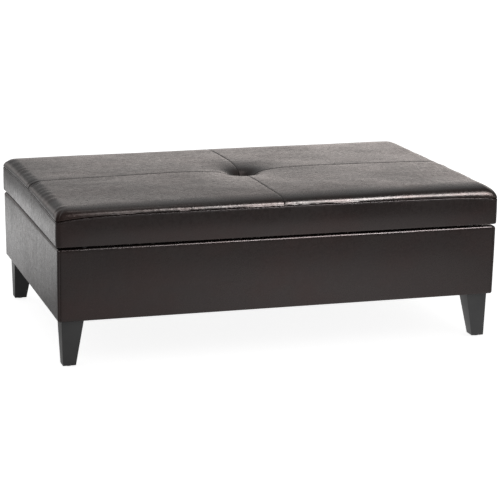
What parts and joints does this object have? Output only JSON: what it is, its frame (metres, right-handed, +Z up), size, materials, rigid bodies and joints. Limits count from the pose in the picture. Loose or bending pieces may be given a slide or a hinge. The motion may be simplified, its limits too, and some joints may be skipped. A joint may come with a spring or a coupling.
{
  "type": "storage ottoman",
  "caption": "Rectangular leather-covered storage ottoman with a hinged padded lid tufted in its middle, a lined box and tapered wooden legs.",
  "frame": {"origin": "centre of the footprint, on the floor", "axes": "+X along the length, front facing -Y, +Z up"},
  "size_m": [1.276, 0.816, 0.4481],
  "materials": {
    "leather": "semi-gloss bonded leather",
    "leg_finish": "black satin lacquer",
    "frame_wood": "raw sawn softwood",
    "plywood": "raw plywood",
    "lining_cloth": "matt woven lining",
    "wadding": "soft polyester felt",
    "foam": "open-cell foam",
    "twine": "waxed twine",
    "zinc_steel": "bright zinc plate",
    "rubber": "matt",
    "glide_plastic": "matt"
  },
  "bodies": {
    "box": {"panel_front": "frame_wood", "panel_back": "frame_wood", "panel_left": "frame_wood", "panel_right": "frame_wood", "panel_floor": "plywood", "corner_block_front_left": "frame_wood", "corner_block_front_right": "frame_wood", "corner_block_back_left": "frame_wood", "corner_block_back_right": "frame_wood", "leg_front_left": "leg_finish", "leg_front_right": "leg_finish", "leg_back_left": "leg_finish", "leg_back_right": "leg_finish", "leg_hanger_bolts": "zinc_steel", "leg_tee_nuts": "zinc_steel", "leg_glides": "glide_plastic", "box_wadding": "wadding", "box_cover_front": "leather", "box_cover_back": "leather", "box_cover_left": "leather", "box_cover_right": "leather", "lining_walls": "lining_cloth", "lining_floor": "lining_cloth", "dust_cover": "lining_cloth", "hinge_box_leaves": "zinc_steel", "hinge_pins": "zinc_steel", "box_screws": "zinc_steel", "stay_box_bracket_left": "zinc_steel", "stay_box_bracket_right": "zinc_steel", "rim_bumpers": "rubber"},
    "lid": {"lid_deck": "plywood", "lid_rail_front": "frame_wood", "lid_rail_back": "frame_wood", "lid_rail_left": "frame_wood", "lid_rail_right": "frame_wood", "lid_braces": "frame_wood", "lid_foam": "foam", "lid_wadding": "wadding", "top_cover_front_left": "leather", "top_cover_front_right": "leather", "top_cover_back_left": "leather", "top_cover_back_right": "leather", "boxing_front": "leather", "boxing_back": "leather", "boxing_left": "leather", "boxing_right": "leather", "tuft_button": "leather", "tuft_twine": "twine", "tuft_washer": "zinc_steel", "lid_liner": "lining_cloth", "hinge_lid_leaves": "zinc_steel", "lid_screws": "zinc_steel", "stay_lid_bracket_left": "zinc_steel", "stay_lid_bracket_right": "zinc_steel"},
    "stay_lower_left": {"stay_lower_arm_left": "zinc_steel"},
    "stay_lower_right": {"stay_lower_arm_right": "zinc_steel"},
    "stay_upper_left": {"stay_upper_arm_left": "zinc_steel"},
    "stay_upper_right": {"stay_upper_arm_right": "zinc_steel"}
  },
  "joints": [
    {"name": "lid_hinge", "type": "hinge", "parent": "box", "child": "lid", "pos_m": [0, 0.405, 0.333], "axis": [-1, 0, 0], "range_deg": [0, 90]},
    {"name": "stay_lower_left_pivot", "type": "hinge", "parent": "box", "child": "stay_lower_left", "pos_m": [-0.6114, 0.325, 0.228], "axis": [-1, 0, 0], "range_deg": [0, 90]},
    {"name": "stay_lower_right_pivot", "type": "hinge", "parent": "box", "child": "stay_lower_right", "pos_m": [0.6114, 0.325, 0.228], "axis": [-1, 0, 0], "range_deg": [0, 90]},
    {"name": "stay_upper_left_pivot", "type": "hinge", "parent": "lid", "child": "stay_upper_left", "pos_m": [-0.6088, 0.245, 0.319], "axis": [-1, 0, 0], "range_deg": [-90, 0]},
    {"name": "stay_upper_right_pivot", "type": "hinge", "parent": "lid", "child": "stay_upper_right", "pos_m": [0.6088, 0.245, 0.319], "axis": [-1, 0, 0], "range_deg": [-90, 0]}
  ],
  "couplings": [
    {"joint": "stay_lower_left_pivot", "follows": "lid_hinge", "ratio": 1},
    {"joint": "stay_lower_right_pivot", "follows": "lid_hinge", "ratio": 1},
    {"joint": "stay_upper_left_pivot", "follows": "lid_hinge", "ratio": -1},
    {"joint": "stay_upper_right_pivot", "follows": "lid_hinge", "ratio": -1}
  ]
}
